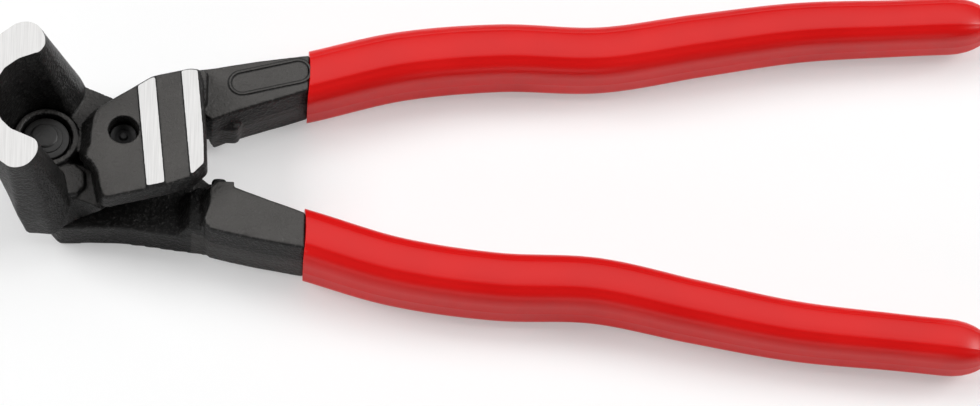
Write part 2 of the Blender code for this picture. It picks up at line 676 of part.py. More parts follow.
def link_pin():
    front = TAIL_FRONT - GAP
    profile = [(0, front), (LINK_PIN_RADIUS - 0.4, front), (LINK_PIN_RADIUS, front - 0.4)]
    return turned("link_pin", profile + flared_end(LINK_PIN_RADIUS, REAR_BACK), LINK)


def material(name, colour, roughness, metallic):
    made = bpy.data.materials.new(name)
    made.use_nodes = True
    shader = made.node_tree.nodes["Principled BSDF"]
    shader.inputs["Base Color"].default_value = (*colour, 1)
    shader.inputs["Roughness"].default_value = roughness
    shader.inputs["Metallic"].default_value = metallic
    made.diffuse_color = (*colour, 1)
    return made


def finish(obj, look, origin, home):
    """Moves the piece to its collection, with its origin on its joint's axis, and shades it."""
    origin = Vector((origin[0] * MM, origin[1] * MM, 0))
    obj.data.transform(Matrix.Translation(-origin))
    obj.location = origin
    obj.data.materials.clear()
    obj.data.materials.append(look)
    obj.data.shade_smooth()
    obj.data.set_sharp_from_angle(angle=math.radians(32))
    bpy.context.scene.collection.objects.unlink(obj)
    home.objects.link(obj)


def main():
    clear_scene()
    home = bpy.data.collections.new("cutting_pliers")
    bpy.context.scene.collection.children.link(home)
    black = material("black_forged_steel", (0.03, 0.03, 0.03), 0.45, 0.4)
    bare = material("blackened_pin_steel", (0.05, 0.05, 0.05), 0.35, 0.7)
    red = material("red_dipped_plastic", (0.6, 0.01, 0.01), 0.3, 0.0)

    upper = upper_handle_lever()
    lower = lower_handle_lever()
    jaw = upper_jaw()
    carried = {
        upper: [grip("upper_grip", 1), main_pivot_pin(), fulcrum_pin()],
        lower: [grip("lower_grip", -1), link_pin()],
    }
    finish(upper, black, MAIN, home)
    finish(jaw, black, MAIN, home)
    finish(lower, black, FULCRUM, home)
    for carrier, pieces in carried.items():
        for piece in pieces:
            look = red if "grip" in piece.name else bare
            finish(piece, look, (0, 0), home)
            piece.parent = carrier
            piece.matrix_parent_inverse = Matrix.Translation(-carrier.location)
    for moving in (lower, jaw):
        moving.parent = upper
        moving.matrix_parent_inverse = Matrix.Translation(-upper.location)


main()
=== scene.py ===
# %% [markdown]
# # Compound end cutters in black steel and red plastic
# A pair of end cutters lies on a white table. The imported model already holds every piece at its
# real size: two forged levers, a separate cutting jaw, three pins and two dipped grips. This
# lesson gives those pieces the surfaces of the real tool. It works in metres, so a length in
# millimetres is written as a number times MM.

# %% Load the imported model
import json
import math

import bmesh
import bpy
from mathutils import Matrix, Vector

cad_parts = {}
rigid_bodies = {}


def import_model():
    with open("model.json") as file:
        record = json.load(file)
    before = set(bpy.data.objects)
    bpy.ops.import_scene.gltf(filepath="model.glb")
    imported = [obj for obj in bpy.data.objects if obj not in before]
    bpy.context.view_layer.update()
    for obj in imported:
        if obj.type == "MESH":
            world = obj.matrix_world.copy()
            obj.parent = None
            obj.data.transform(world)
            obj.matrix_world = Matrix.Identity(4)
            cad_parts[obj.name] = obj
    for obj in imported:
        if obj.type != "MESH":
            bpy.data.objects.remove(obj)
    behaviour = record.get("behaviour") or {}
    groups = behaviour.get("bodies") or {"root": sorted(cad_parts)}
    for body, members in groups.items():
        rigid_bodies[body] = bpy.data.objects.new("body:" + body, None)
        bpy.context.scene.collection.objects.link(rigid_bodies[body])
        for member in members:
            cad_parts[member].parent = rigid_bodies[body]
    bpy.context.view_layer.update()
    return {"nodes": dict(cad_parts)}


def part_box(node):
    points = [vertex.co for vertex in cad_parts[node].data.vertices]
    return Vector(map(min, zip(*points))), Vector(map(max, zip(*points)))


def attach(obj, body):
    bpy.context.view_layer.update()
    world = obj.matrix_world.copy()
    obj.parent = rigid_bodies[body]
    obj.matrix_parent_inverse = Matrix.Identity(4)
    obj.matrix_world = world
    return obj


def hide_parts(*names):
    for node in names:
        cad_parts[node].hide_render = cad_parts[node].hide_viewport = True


MM = 0.001

for startup_object in list(bpy.data.objects):
    bpy.data.objects.remove(startup_object, do_unlink=True)
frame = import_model()
nodes = frame["nodes"]
print("pieces in the frame:", sorted(nodes))

# %% [markdown]
# ## Writing shader maths as plain expressions
# A surface finish is a sum: a base colour, plus grain, plus wear where some mask is high. In the
# node editor that is a web of Math nodes. A small class around a socket lets the same web be
# written as arithmetic, so that `1 - mask` or `grain * 0.3` adds the nodes by itself.

# %% The expression class


class Value:
    """A shader socket that takes part in arithmetic."""

    def __init__(self, tree, socket):
        self.tree = tree
        self.socket = socket

    def math(self, operation, *others):
        node = self.tree.nodes.new("ShaderNodeMath")
        node.operation = operation
        for place, value in enumerate((self, *others)):
            plug(self.tree, node.inputs[place], value)
        return Value(self.tree, node.outputs[0])

    def __add__(self, other):
        return self.math("ADD", other)

    def __radd__(self, other):
        return self.math("ADD", other)

    def __sub__(self, other):
        return self.math("SUBTRACT", other)

    def __rsub__(self, other):
        return self.math("MULTIPLY", -1.0).math("ADD", other)

    def __mul__(self, other):
        return self.math("MULTIPLY", other)

    def __rmul__(self, other):
        return self.math("MULTIPLY", other)

    def __gt__(self, limit):
        return self.math("GREATER_THAN", limit)

    def __lt__(self, limit):
        return self.math("LESS_THAN", limit)

    def clamped(self):
        return self.math("MAXIMUM", 0.0).math("MINIMUM", 1.0)

    def ramp(self, low, high):
        """0 below low and 1 above high, with a straight rise between them."""
        return ((self - low) * (1.0 / (high - low))).clamped()


# %% [markdown]
# A node tree is easier to read when each node is one call that holds its settings and its links.
# A helper either links a socket or writes a value, so that a plain number and a mask can stand in
# the same place.

# %% Trees as calls


def plug(tree, entry, value):
    """Links a socket to an entry, or writes a plain value on it."""
    if isinstance(value, Value):
        tree.links.new(value.socket, entry)
    elif isinstance(value, bpy.types.NodeSocket):
        tree.links.new(value, entry)
    else:
        entry.default_value = value


class Tree:
    """A node tree that is written as calls."""

    def __init__(self, tree):
        self.tree = tree

    def node(self, kind, settings=None, **values):
        """Adds a node: its settings come first, then the values or links of its sockets."""
        made = self.tree.nodes.new(kind)
        for name, setting in (settings or {}).items():
            setattr(made, name, setting)
        for name, value in values.items():
            plug(self.tree, made.inputs[name.replace("_", " ")], value)
        return made

    def value(self, socket):
        return Value(self.tree, socket)


# %% [markdown]
# A finish is a stack of colour, gloss and relief at several sizes. This class starts from the
# default shader and adds what all finishes of this tool share. Noise is given by the size of its
# lumps, because that can be judged by eye in millimetres, which a noise scale can't.

# %% Finishes as calls


class Finish(Tree):
    """A material that is written from the surface inwards."""

    def __init__(self, name):
        self.material = bpy.data.materials.new(name)
        self.material.use_nodes = True
        super().__init__(self.material.node_tree)
        self.shader = self.tree.nodes["Principled BSDF"]
        coordinates = self.node("ShaderNodeTexCoord")
        self.place = coordinates.outputs["Object"]
        self.facing = coordinates.outputs["Normal"]

    def axes(self):
        """The three coordinates of the shaded point."""
        parts = self.node("ShaderNodeSeparateXYZ", Vector=self.place)
        return [self.value(parts.outputs[axis]) for axis in "XYZ"]

    def noise(self, size, detail=2.0, roughness=0.5, vector=None):
        """Cloudy noise whose lumps measure about size metres."""
        made = self.node(
            "ShaderNodeTexNoise",
            Vector=vector or self.place,
            Scale=1.0 / size,
            Detail=detail,
            Roughness=roughness,
        )
        return self.value(made.outputs["Fac"])

    def stretched(self, scale, turn=0.0):
        """The object's coordinates, turned about Z and then scaled, for lines and brush marks."""
        return self.node(
            "ShaderNodeMapping", Vector=self.place, Rotation=(0, 0, turn), Scale=scale
        ).outputs["Vector"]

    def mix(self, factor, low, high):
        """Blends two colours."""
        made = self.node("ShaderNodeMix", {"data_type": "RGBA"})
        plug(self.tree, made.inputs["Factor"], factor)
        plug(self.tree, made.inputs[6], low if not isinstance(low, tuple) else (*low, 1))
        plug(self.tree, made.inputs[7], high if not isinstance(high, tuple) else (*high, 1))
        return made.outputs[2]

    def bump(self, height, distance, below=None):
        """Relief of a height map, on top of the relief below it."""
        made = self.node("ShaderNodeBump", Height=height, Distance=distance)
        if below is not None:
            plug(self.tree, made.inputs["Normal"], below)
        return made.outputs["Normal"]

    def surface(self, **values):
        """Sets the shader's sockets and hands the material back."""
        for name, value in values.items():
            plug(self.tree, self.shader.inputs[name.replace("_", " ")], value)
        return self.material


# %% [markdown]
# ## Black forged steel
# The forgings are blasted and then blackened, so the surface is a fine pebble that scatters
# light, with a thin dark oxide over it. Two things are bare: the ends of the jaws and two bands
# across the front plate, which are ground bright after blackening. A mask built from the height
# above the ring picks them out, so that one material can hold both finishes and the edge between
# them stays crisp. The flats at the front and the back are painted lighter than the sides, as a
# lit and a shaded copy of the same black: painted light on the flats, painted shade on the sides.
# The corner beside the oval's rim is painted darker as painted shade, and the bands' steep sides
# are painted darker along both edges.

# %% Sizes that the masks share with the forgings
BAND_TOP = 3.35 * MM
BAND_FOOT = 2.9 * MM
BANDS = [(20.45, 3.45), (29.1, 3.1)]
BAND_TURN = math.radians(6.1)
LINE_UNDER = 0.1 * MM
LINE_REACH = 0.28 * MM
JAW_FACE = 17.5 * MM
MASK_DEPTH = 0.03 * MM
BAND_SIDE = 12.0 * MM
FRONT_FLAT = -4.0 * MM
BACK_FLAT = -14.0 * MM
PARTING = -7.2 * MM
ARM_ROOT = 29.0 * MM
OVAL_CENTRE = (43.5, 16.15)
OVAL_TURN = math.radians(15.4)
OVAL_LENGTH = 16.2
OVAL_WIDTH = 4.9
OVAL_LEVELS = (-3.0 * MM, -1.5 * MM)
RIM_HALF_WIDTH = 0.3 * MM
RIM_SHADE_REACH = (0.7 * RIM_HALF_WIDTH, 1.7 * RIM_HALF_WIDTH)
# How flat an outer face must be to take the painted light, and the share of it that the arms get
# below their parting line as a painted reflection of the table.
FLAT_ENOUGH = (0.80, 0.97)
PAINTED_REFLECTION_SHARE = 0.45

# %% [markdown]
# Each mask is a small function that gives 1 where its finish belongs and 0 elsewhere. They read
# the height, the place and the direction of the surface, and nothing that depends on the view.

# %% The masks


def ground_mask(finish):
    """1 on the jaws' ground ends and on the two bands, 0 on the black surface."""
    x, _, z = finish.axes()
    jaw_end = z > JAW_FACE - MASK_DEPTH
    band = (z > BAND_TOP - MASK_DEPTH) * (z < BAND_TOP + MASK_DEPTH) * (x > BAND_SIDE)
    return (jaw_end + band).clamped()


def beside_bands(finish):
    """1 along both sides of each band, where they are painted darker; its middle and width are
    known at y = 0.
    """
    x, y, z = finish.axes()
    darkened = (z > BAND_FOOT) * (z < BAND_TOP - MASK_DEPTH)
    lines = 0
    for middle, width in BANDS:
        edge = width / 2 * MM
        off = (x + y * math.tan(BAND_TURN) - middle * MM).math("ABSOLUTE")
        lines = (off > edge - LINE_UNDER) * (off < edge + LINE_REACH) + lines
    return darkened * lines


def from_oval(finish):
    """Distance from the oval's rim, which is a rectangle with two round ends."""
    x, y, z = finish.axes()
    cos, sin = math.cos(OVAL_TURN), math.sin(OVAL_TURN)
    dx, dy = x - OVAL_CENTRE[0] * MM, y - OVAL_CENTRE[1] * MM
    along = dx * cos + dy * sin
    across = dy * cos - dx * sin
    straight = (OVAL_LENGTH - OVAL_WIDTH) / 2 * MM
    beyond = (along.math("ABSOLUTE") - straight).math("MAXIMUM", 0.0)
    reach = (beyond * beyond + across * across).math("SQRT")
    far = (z < OVAL_LEVELS[0]) + (z > OVAL_LEVELS[1])
    return (reach - OVAL_WIDTH / 2 * MM).math("ABSOLUTE") + far


def painted_flat_light(finish):
    """1 on the outer flats, where light is painted, and a smaller share below the arms' parting
    line, as a painted reflection of the table.
    """
    x, _, z = finish.axes()
    parts = finish.node("ShaderNodeSeparateXYZ", Vector=finish.facing)
    flat = finish.value(parts.outputs["Z"]).math("ABSOLUTE").ramp(*FLAT_ENOUGH)
    outer = (z > FRONT_FLAT) + (z < BACK_FLAT)
    reflected = (z < PARTING) * (x > ARM_ROOT) * PAINTED_REFLECTION_SHARE
    return (flat * outer).math("MAXIMUM", reflected)


# %% [markdown]
# The steel's colours are pairs, a darker and a lighter one, which slow clouds blend. The black has
# a shaded pair for the sides and a lit pair for the flats. Three noises of falling size make the
# relief: dents from the die, the blasted pebble, and a fine grit that catches single points of
# light.

# %% The black steel
DENT = 2.4 * MM
PEBBLE = 0.75 * MM
GRIT = 0.33 * MM
CLOUD = 9 * MM
CLOUD_RANGE = (0.35, 0.7)
BRUSH_LINE = 0.22 * MM
BRUSH_LENGTH = 9 * MM
BRUSH_TURN = 0.06
# A shaded and a lit copy of the same black: the sides are painted in shade, the outer flats are
# painted lit.
SHADED_BLACK = ((0.005, 0.0048, 0.0046), (0.008, 0.0077, 0.0074))
LIT_BLACK = ((0.060, 0.0570, 0.0545), (0.074, 0.0705, 0.0670))
# Painted glints: a light grey for specks that stand for points of light on the pebble.
PAINTED_GLINT = (0.085, 0.082, 0.079)
SPECK_RANGE = (0.29, 0.38)
SPECK_SHARE = 0.35
# Painted shade: a near black for the thin ring beside the oval's rim and for the pins deep in their
# holes; the bands' sides are darkened with it too.
NEAR_BLACK = (0.003, 0.003, 0.003)
RIM_SHADE_SHARE = 0.7
GROUND_STEEL = ((0.52, 0.515, 0.51), (0.63, 0.625, 0.62))
SOFT_RANGE = (0.3, 0.7)
PEBBLE_DEPTH = 0.30 * MM
GRIT_DEPTH = 0.09 * MM
DENT_DEPTH = 0.12 * MM
BRUSH_DEPTH = 0.004 * MM
BLACK_ROUGHNESS = (0.36, 0.16)
GROUND_ROUGHNESS = (0.30, 0.1)
METAL_SHARE = 0.9
OXIDE_SHINE = 0.28


def forged_black():
    finish = Finish("black_forged_steel")
    ground = ground_mask(finish)
    black = 1 - ground
    pebble = finish.noise(PEBBLE, detail=2.0, roughness=0.6)
    grit = finish.noise(GRIT, detail=1.0)
    dents = finish.noise(DENT, detail=2.0)
    clouds = finish.noise(CLOUD, detail=3.0)
    along_brush = (1 / BRUSH_LINE, 1 / BRUSH_LENGTH, 1 / BRUSH_LINE)
    brush = finish.noise(1.0, vector=finish.stretched(along_brush, BRUSH_TURN))
    rim = from_oval(finish)
    # Painted shade in a thin ring beside the oval's rim.
    rim_shade = (rim > RIM_SHADE_REACH[0]) * (rim < RIM_SHADE_REACH[1]) * RIM_SHADE_SHARE
    darkened = rim_shade + beside_bands(finish)
    # Painted light: the shaded copy of the black goes on the sides, and the lit copy on the outer
    # flats.
    oxide = finish.mix(clouds.ramp(*CLOUD_RANGE), *SHADED_BLACK)
    lit_black = finish.mix(clouds.ramp(*CLOUD_RANGE), *LIT_BLACK)
    oxide = finish.mix(painted_flat_light(finish), oxide, lit_black)
    # Painted glints: light grey specks where the grit and the pebble peak.
    oxide = finish.mix((grit * pebble).ramp(*SPECK_RANGE) * SPECK_SHARE, oxide, PAINTED_GLINT)
    # Painted shade beside the oval's rim, and darker lines along the bands' sides.
    oxide = finish.mix(darkened.clamped(), oxide, NEAR_BLACK)
    bright = finish.mix(brush.ramp(*SOFT_RANGE), *GROUND_STEEL)
    colour = finish.mix(ground, oxide, bright)
    relief = finish.bump(pebble * black, PEBBLE_DEPTH)
    relief = finish.bump(grit * black, GRIT_DEPTH, below=relief)
    relief = finish.bump(dents * black, DENT_DEPTH, below=relief)
    relief = finish.bump(brush * ground, BRUSH_DEPTH, below=relief)
    on_black = BLACK_ROUGHNESS[0] + pebble * BLACK_ROUGHNESS[1]
    on_ground = GROUND_ROUGHNESS[0] + brush * GROUND_ROUGHNESS[1]
    roughness = black * on_black + ground * on_ground
    return finish.surface(
        Base_Color=colour,
        Roughness=roughness,
        Metallic=ground * METAL_SHARE,
        Specular_IOR_Level=OXIDE_SHINE,
        Normal=relief,
    )


# %% [markdown]
# The pins are turned and not forged, so their grain is finer. The two pins behind the main pivot
# sit deep in their holes. There they are matt, and their colour is painted near black as painted
# shade.

# %% The pins' steel
DEEP_HOLES = 10 * MM
PIN_CLOUD = 3 * MM
PIN_GRAIN = 0.5 * MM
PIN_STEEL = ((0.012, 0.0115, 0.011), (0.020, 0.019, 0.018))
PIN_ROUGHNESS = (0.36, 0.2)
PIN_SHINE = 0.5
MATT_IN_HOLES = 0.25
GRAIN_DEPTH = 0.05 * MM


def pin_black():
    finish = Finish("blackened_pin_steel")
    x, _, _ = finish.axes()
    clouds = finish.noise(PIN_CLOUD)
    grain = finish.noise(PIN_GRAIN, detail=3.0)
    colour = finish.mix(clouds.ramp(*SOFT_RANGE), *PIN_STEEL)
    # Painted shade: the pins deep in their holes are painted near black.
    colour = finish.mix(x > DEEP_HOLES, colour, NEAR_BLACK)
    return finish.surface(
        Base_Color=colour,
        Roughness=PIN_ROUGHNESS[0] + grain * PIN_ROUGHNESS[1] + (x > DEEP_HOLES) * MATT_IN_HOLES,
        Specular_IOR_Level=PIN_SHINE,
        Normal=finish.bump(grain, GRAIN_DEPTH),
    )


# %% [markdown]
# ## Red dipped plastic
# The handles are dipped in liquid plastic, which flows smooth before it sets. It has no grain,
# only a very slow waviness that bends the highlights, and a soft gloss over a strong red.

# %% The red finish
WAVE = 14 * MM
FINE_SKIN = 0.8 * MM
RED = ((0.64, 0.0022, 0.0020), (0.70, 0.0045, 0.004))
WAVE_DEPTH = 0.12 * MM
FINE_DEPTH = 0.004 * MM
RED_ROUGHNESS = (0.30, 0.06)
RED_SHINE = 0.36


def dipped_red():
    finish = Finish("red_dipped_plastic")
    waves = finish.noise(WAVE, detail=1.0)
    fine_skin = finish.noise(FINE_SKIN, detail=2.0)
    colour = finish.mix(waves.ramp(*SOFT_RANGE), *RED)
    relief = finish.bump(waves, WAVE_DEPTH)
    relief = finish.bump(fine_skin, FINE_DEPTH, below=relief)
    return finish.surface(
        Base_Color=colour,
        Roughness=RED_ROUGHNESS[0] + waves * RED_ROUGHNESS[1],
        Specular_IOR_Level=RED_SHINE,
        Normal=relief,
    )


# %% [markdown]
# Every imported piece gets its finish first. Most of them are replaced later by finer copies, but a
# piece that stays as it is packed then already looks right.

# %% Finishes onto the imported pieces
steel = forged_black()
pin_steel = pin_black()
red = dipped_red()

for name, node in nodes.items():
    finish_of_node = red if "grip" in name else pin_steel if name.endswith("pin") else steel
    node.data.materials.clear()
    node.data.materials.append(finish_of_node)
print("finishes:", steel.name, pin_steel.name, red.name)

# %% [markdown]
# ## Recipes in Geometry Nodes
# Two kinds of work repeat on this tool: a section that follows a path, and a surface that gets
# the uneven skin of a forging. Each becomes a node tree with named inputs. A recipe is run on an
# object and its result is kept as a plain mesh, because the finished piece must not depend on
# live modifiers.

# %% The recipe class


class Recipe(Tree):
    """A Geometry Nodes tree with named inputs, which ends in one mesh with one material."""

    def __init__(self, name, inputs):
        super().__init__(bpy.data.node_groups.new(name, "GeometryNodeTree"))
        face = self.tree.interface
        face.new_socket("Geometry", in_out="INPUT", socket_type="NodeSocketGeometry")
        for label, kind in (*inputs.items(), ("Material", "Material")):
            face.new_socket(label, in_out="INPUT", socket_type="NodeSocket" + kind)
        face.new_socket("Geometry", in_out="OUTPUT", socket_type="NodeSocketGeometry")
        self.entry = self.tree.nodes.new("NodeGroupInput")

    def given(self, label):
        """The value of a named input."""
        return self.value(self.entry.outputs[label])

    def end(self, geometry):
        """Makes the geometry real, smooth and of one material, and hands it out."""
        real = self.node("GeometryNodeRealizeInstances", Geometry=geometry).outputs[0]
        smooth = self.node("GeometryNodeSetShadeSmooth", Geometry=real).outputs[0]
        material = self.given("Material")
        look = self.node("GeometryNodeSetMaterial", Geometry=smooth, Material=material).outputs[0]
        self.tree.links.new(look, self.tree.nodes.new("NodeGroupOutput").inputs[0])

    def add_to(self, piece, **values):
        """Puts the recipe on a piece and sets its inputs by their identifiers."""
        modifier = piece.modifiers.new(self.tree.name, "NODES")
        modifier.node_group = self.tree
        for item in self.tree.interface.items_tree:
            key = item.name.replace(" ", "_")
            if item.in_out == "INPUT" and key in values:
                modifier[item.identifier] = values[key]


# %% [markdown]
# Three helpers come back all the time. One makes an object of a mesh, one keeps what the
# modifiers made of it, and one counts triangles, which tells how heavy a piece gets.

# %% Helpers for pieces


def new_piece(name, mesh):
    piece = bpy.data.objects.new(name, mesh)
    bpy.context.scene.collection.objects.link(piece)
    return piece


def keep_result(piece):
    """Replaces the piece's mesh by what its modifiers make of it."""
    graph = bpy.context.evaluated_depsgraph_get()
    mesh = bpy.data.meshes.new_from_object(piece.evaluated_get(graph))
    piece.modifiers.clear()
    piece.data = mesh
    return piece


def count_triangles(piece):
    return sum(len(face.vertices) - 2 for face in piece.data.polygons)


# %% [markdown]
# ## The forgings
# A drop forging has no sharp edges: steel is pressed hot into a die, and only what is ground
# later gets a crisp outline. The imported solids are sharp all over. Bevels would stumble over
# their many joints, so the surface is rebuilt instead: a copy is turned into an even skin of
# small squares and smoothed, which rounds every edge and fillets every corner by the same small
# amount. The faces that a grinder touches are lifted a little beforehand and cut level
# afterwards, as on the real tool. That gives them flat faces and crisp outlines again.

# %% Sizes of the forgings
SKIN = 0.33 * MM
SMOOTHING = 3
SMOOTHING_SHARE = 0.5
JAW_GRINDING = 0.9 * MM
BAND_GRINDING = 0.5 * MM
JAW_LEAN = math.radians(15)
ARM_END = 50.9 * MM
STUB = 0.8 * MM
STUB_SHARE = 0.8
ARM_SLOPE = 0.27
ARM_FRONT = -2.4 * MM
OVAL_SIDE = 33.0 * MM
LUMP_SIZE = 3.5 * MM
LUMP_DEPTH = 0.16 * MM
BESIDE_BAND = 0.3 * MM
BESIDE_JAW_FACE = 0.6 * MM

# %% [markdown]
# A forging's skin is never quite flat, because scale and wear leave the die a little lumpy. The
# recipe moves each point along its normal by a slow noise. What is ground later stays as it is,
# so that its outline keeps its clean curve.

# %% The uneven skin


def uneven_skin():
    recipe = Recipe("uneven_skin", {"Lump size": "Float", "Lump depth": "Float"})
    where = recipe.node("GeometryNodeInputPosition").outputs[0]
    parts = recipe.node("ShaderNodeSeparateXYZ", Vector=where)
    x, z = recipe.value(parts.outputs["X"]), recipe.value(parts.outputs["Z"])
    scale = recipe.given("Lump size").math("POWER", -1.0)
    noise = recipe.node("ShaderNodeTexNoise", Vector=where, Scale=scale, Detail=2.0)
    band = (z > BAND_TOP - BESIDE_BAND) * (x > BAND_SIDE)
    free = (1 - band) * (z < JAW_FACE - BESIDE_JAW_FACE)
    lumps = recipe.value(noise.outputs["Fac"]) - 0.5
    height = lumps * recipe.given("Lump depth") * free
    normal = recipe.node("GeometryNodeInputNormal").outputs[0]
    shift = recipe.node("ShaderNodeVectorMath", {"operation": "SCALE"}, Scale=height)
    plug(recipe.tree, shift.inputs[0], normal)
    geometry = recipe.entry.outputs["Geometry"]
    moved = recipe.node("GeometryNodeSetPosition", Geometry=geometry, Offset=shift.outputs[0])
    recipe.end(moved.outputs[0])
    return recipe


skin = uneven_skin()
print("skin recipe:", len(skin.tree.nodes), "nodes")

# %% [markdown]
# Grinding is a cut with a plane: what stands above the plane goes, and the hole it leaves is
# closed with a flat face whose edges are sharp. Only the faces near the place are cut, because
# the jaw and the bands have planes of their own.

# %% Cutting and filling
SAME_PLACE = 1e-6
ON_THE_PLANE = 1e-7


def everything(shape):
    return shape.verts[:] + shape.edges[:] + shape.faces[:]


def open_edges(shape):
    return [edge for edge in shape.edges if edge.is_boundary]


def cut_level(shape, faces, height):
    """Takes off what stands above a height among the faces, and closes the cut with a face."""
    edges = {edge for face in faces for edge in face.edges}
    corners = {corner for face in faces for corner in face.verts}
    bmesh.ops.bisect_plane(
        shape, geom=[*corners, *edges, *faces], dist=ON_THE_PLANE,
        plane_co=(0, 0, height), plane_no=(0, 0, 1), clear_outer=True,
    )
    closed = bmesh.ops.edgeloop_fill(shape, edges=open_edges(shape))["faces"]
    for face in closed:
        face.normal_update()
        if face.normal.z < 0:
            face.normal_flip()
        for edge in face.edges:
            edge.smooth = False
    return len(closed)


# %% [markdown]
# What is ground later needs some steel to spare, so it is raised first. The jaw's end rises along
# its lean, which leaves its outline after the cut about where it was. The arm, for its part, ends
# inside its grip, where a short stub leads on into the plastic.

# %% Steel to spare
PACKED_RIM = 0.3 * MM
NEAR_FACE = 0.3 * MM


def lift(shape, height):
    """Raises what is ground later, and takes off the oval's rim, which is made anew."""
    for corner in shape.verts:
        on_rim = 0 < corner.co.z - ARM_FRONT < PACKED_RIM
        if corner.co.x > OVAL_SIDE and corner.co.y > 0 and on_rim:
            corner.co.z = ARM_FRONT
        if abs(corner.co.z - BAND_TOP) < SAME_PLACE and corner.co.x > BAND_SIDE:
            corner.co.z += BAND_GRINDING
        if corner.co.z > height - NEAR_FACE:
            corner.co.z += JAW_GRINDING
            corner.co.x -= JAW_GRINDING * math.tan(JAW_LEAN)


def shorten_arm(shape, side):
    """Ends the arm just inside the grip, where nobody sees it."""
    bmesh.ops.bisect_plane(
        shape, geom=everything(shape), clear_outer=True,
        plane_co=(ARM_END, 0, 0), plane_no=(1, 0, 0),
    )
    made = bmesh.ops.extrude_edge_only(shape, edges=open_edges(shape))["geom"]
    corners = [item for item in made if isinstance(item, bmesh.types.BMVert)]
    bmesh.ops.translate(shape, verts=corners, vec=(STUB, side * ARM_SLOPE * STUB, 0))
    middle = sum((corner.co for corner in corners), Vector()) / len(corners)
    bmesh.ops.scale(
        shape, verts=corners, vec=(1, STUB_SHARE, STUB_SHARE), space=Matrix.Translation(-middle)
    )
    bmesh.ops.edgeloop_fill(shape, edges=open_edges(shape))


# %% [markdown]
# Where the upper arm leaves the front plate, the die hollows its rear corner, to clear the lower
# lever. A block with slanted sides takes that corner off before the skin is rebuilt.

# %% The hollow at the upper arm's root
HOLLOW = [
    (26.5, 3.0, -8.4), (31.0, 3.0, -8.4), (31.0, 6.8, -8.4), (26.5, 6.8, -8.4),
    (26.5, 3.0, -16.0), (33.6, 3.0, -16.0), (33.0, 8.8, -16.0), (26.5, 8.8, -16.0),
]


def hollowed(piece):
    """Takes the block off the piece."""
    shape = bmesh.new()
    corners = [shape.verts.new(Vector(point) * MM) for point in HOLLOW]
    bmesh.ops.convex_hull(shape, input=corners)
    bmesh.ops.recalc_face_normals(shape, faces=shape.faces)
    mesh = bpy.data.meshes.new("hollow")
    shape.to_mesh(mesh)
    shape.free()
    block = new_piece("hollow", mesh)
    taking_off = piece.modifiers.new("hollow", "BOOLEAN")
    taking_off.operation = "DIFFERENCE"
    taking_off.object = block
    keep_result(piece)
    bpy.data.objects.remove(block, do_unlink=True)


# %% [markdown]
# Each forging is made in the same order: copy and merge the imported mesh, lift what is ground
# later, rebuild and round the skin, then grind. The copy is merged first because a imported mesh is
# loose triangles. The rebuilt squares are pulled back onto the old surface before they are
# smoothed, so that flat faces stay flat.

# %% Making the forgings
CUT_BELOW_JAW_FACE = 1.0 * MM
CUT_BELOW_BAND = 0.2 * MM


def even_skin(piece, die):
    """Modifiers that turn a piece into even squares on the die's surface, and round its edges."""
    rebuilt = piece.modifiers.new("even_squares", "REMESH")
    rebuilt.mode = "VOXEL"
    rebuilt.voxel_size = SKIN
    fitted = piece.modifiers.new("fitted", "SHRINKWRAP")
    fitted.target = die
    fitted.wrap_method = "NEAREST_SURFACEPOINT"
    rounding = piece.modifiers.new("rounding", "SMOOTH")
    rounding.factor = SMOOTHING_SHARE
    rounding.iterations = SMOOTHING


def grind(piece):
    """Cuts the jaw's face and the bands level, and says how many flat faces that gave."""
    shape = bmesh.new()
    shape.from_mesh(piece.data)
    cuts = 0
    if max(corner.co.z for corner in shape.verts) > JAW_FACE:
        near = JAW_FACE - CUT_BELOW_JAW_FACE
        tall = [face for face in shape.faces if face.calc_center_median().z > near]
        cuts += cut_level(shape, tall, JAW_FACE)
    middles = [(face, face.calc_center_median()) for face in shape.faces]
    near = BAND_TOP - CUT_BELOW_BAND
    raised = [face for face, middle in middles if middle.z > near and middle.x > BAND_SIDE]
    if raised:
        cuts += cut_level(shape, raised, BAND_TOP)
    shape.to_mesh(piece.data)
    shape.free()
    return cuts


# %% [markdown]
# The two levers and the cutting jaw go through the same steps. Only the levers have an arm to
# shorten, and only the upper one has the hollow.

# %% The three forgings


def forging(name, node_name, body, side=0):
    shape = bmesh.new()
    shape.from_mesh(nodes[node_name].data)
    bmesh.ops.remove_doubles(shape, verts=shape.verts, dist=SAME_PLACE)
    lift(shape, JAW_FACE)
    if side:
        shorten_arm(shape, side)
    bmesh.ops.recalc_face_normals(shape, faces=shape.faces)
    mesh = bpy.data.meshes.new(name)
    shape.to_mesh(mesh)
    shape.free()
    piece = new_piece(name, mesh)
    if side > 0:
        hollowed(piece)
    die = new_piece("die", piece.data.copy())
    even_skin(piece, die)
    skin.add_to(piece, Lump_size=LUMP_SIZE, Lump_depth=LUMP_DEPTH, Material=steel)
    keep_result(piece)
    bpy.data.objects.remove(die, do_unlink=True)
    cuts = grind(piece)
    for face in piece.data.polygons:
        face.use_smooth = True
    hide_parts(node_name)
    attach(piece, body)
    print(name, count_triangles(piece), "triangles, ground faces:", cuts)
    return piece


forging("upper_forging", "upper_handle_lever", "upper_lever", side=1)
forging("lower_forging", "lower_handle_lever", "lower_lever", side=-1)
forging("jaw_forging", "upper_jaw", "cutting_jaw")

# %% [markdown]
# ## The grips
# Each grip is one section swept along the handle. The section is a rounded rectangle whose front
# and back carry a slightly crowned panel with a soft step beside it. Its size changes along the
# handle by a list of widths. A sweep in Geometry Nodes does just this: the path carries its
# thickness as an attribute, and the tree gives every section that size. The mouth is then cut
# square to the tool and rounded, and its front is drawn back a little in the middle, as dipped
# plastic hangs.

